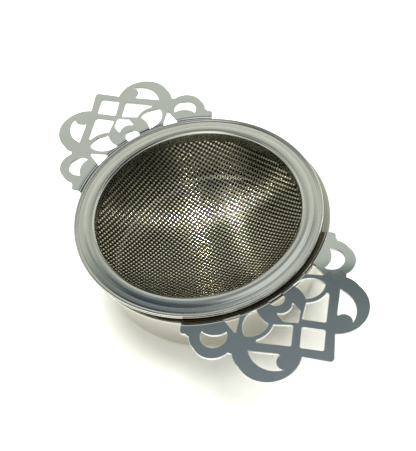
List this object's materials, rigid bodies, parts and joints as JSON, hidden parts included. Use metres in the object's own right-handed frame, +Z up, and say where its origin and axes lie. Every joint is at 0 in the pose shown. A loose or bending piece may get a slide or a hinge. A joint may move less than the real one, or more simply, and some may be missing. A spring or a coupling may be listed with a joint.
{
  "type": "tea strainer with drip bowl",
  "caption": "Two-handled tea strainer with a domed woven-wire bowl, a flat steel ring and pierced knotwork handles, resting on a shallow pressed drip bowl.",
  "frame": {"origin": "middle of the drip bowl's flat underside", "axes": "+Z up; +X along the handles towards wing_right; +Y to its left"},
  "size_m": [0.1263, 0.0753, 0.0249],
  "materials": {
    "bowl_steel": "satin",
    "ring_steel": "satin with a bright bead",
    "clamp_steel": "bright",
    "wire_cloth": "drawn wire",
    "handle_steel": "mirror polished"
  },
  "bodies": {
    "bowl": {"drip_bowl": "bowl_steel"},
    "strainer": {"rim_ring": "ring_steel", "clamp_ring": "clamp_steel", "mesh_bowl": "wire_cloth", "wing_right": "handle_steel", "wing_left": "handle_steel"}
  },
  "joints": [
    {"name": "strainer_lift", "type": "slide", "parent": "bowl", "child": "strainer", "axis": [0, 0, 1], "range_m": [0, 0.05]}
  ]
}
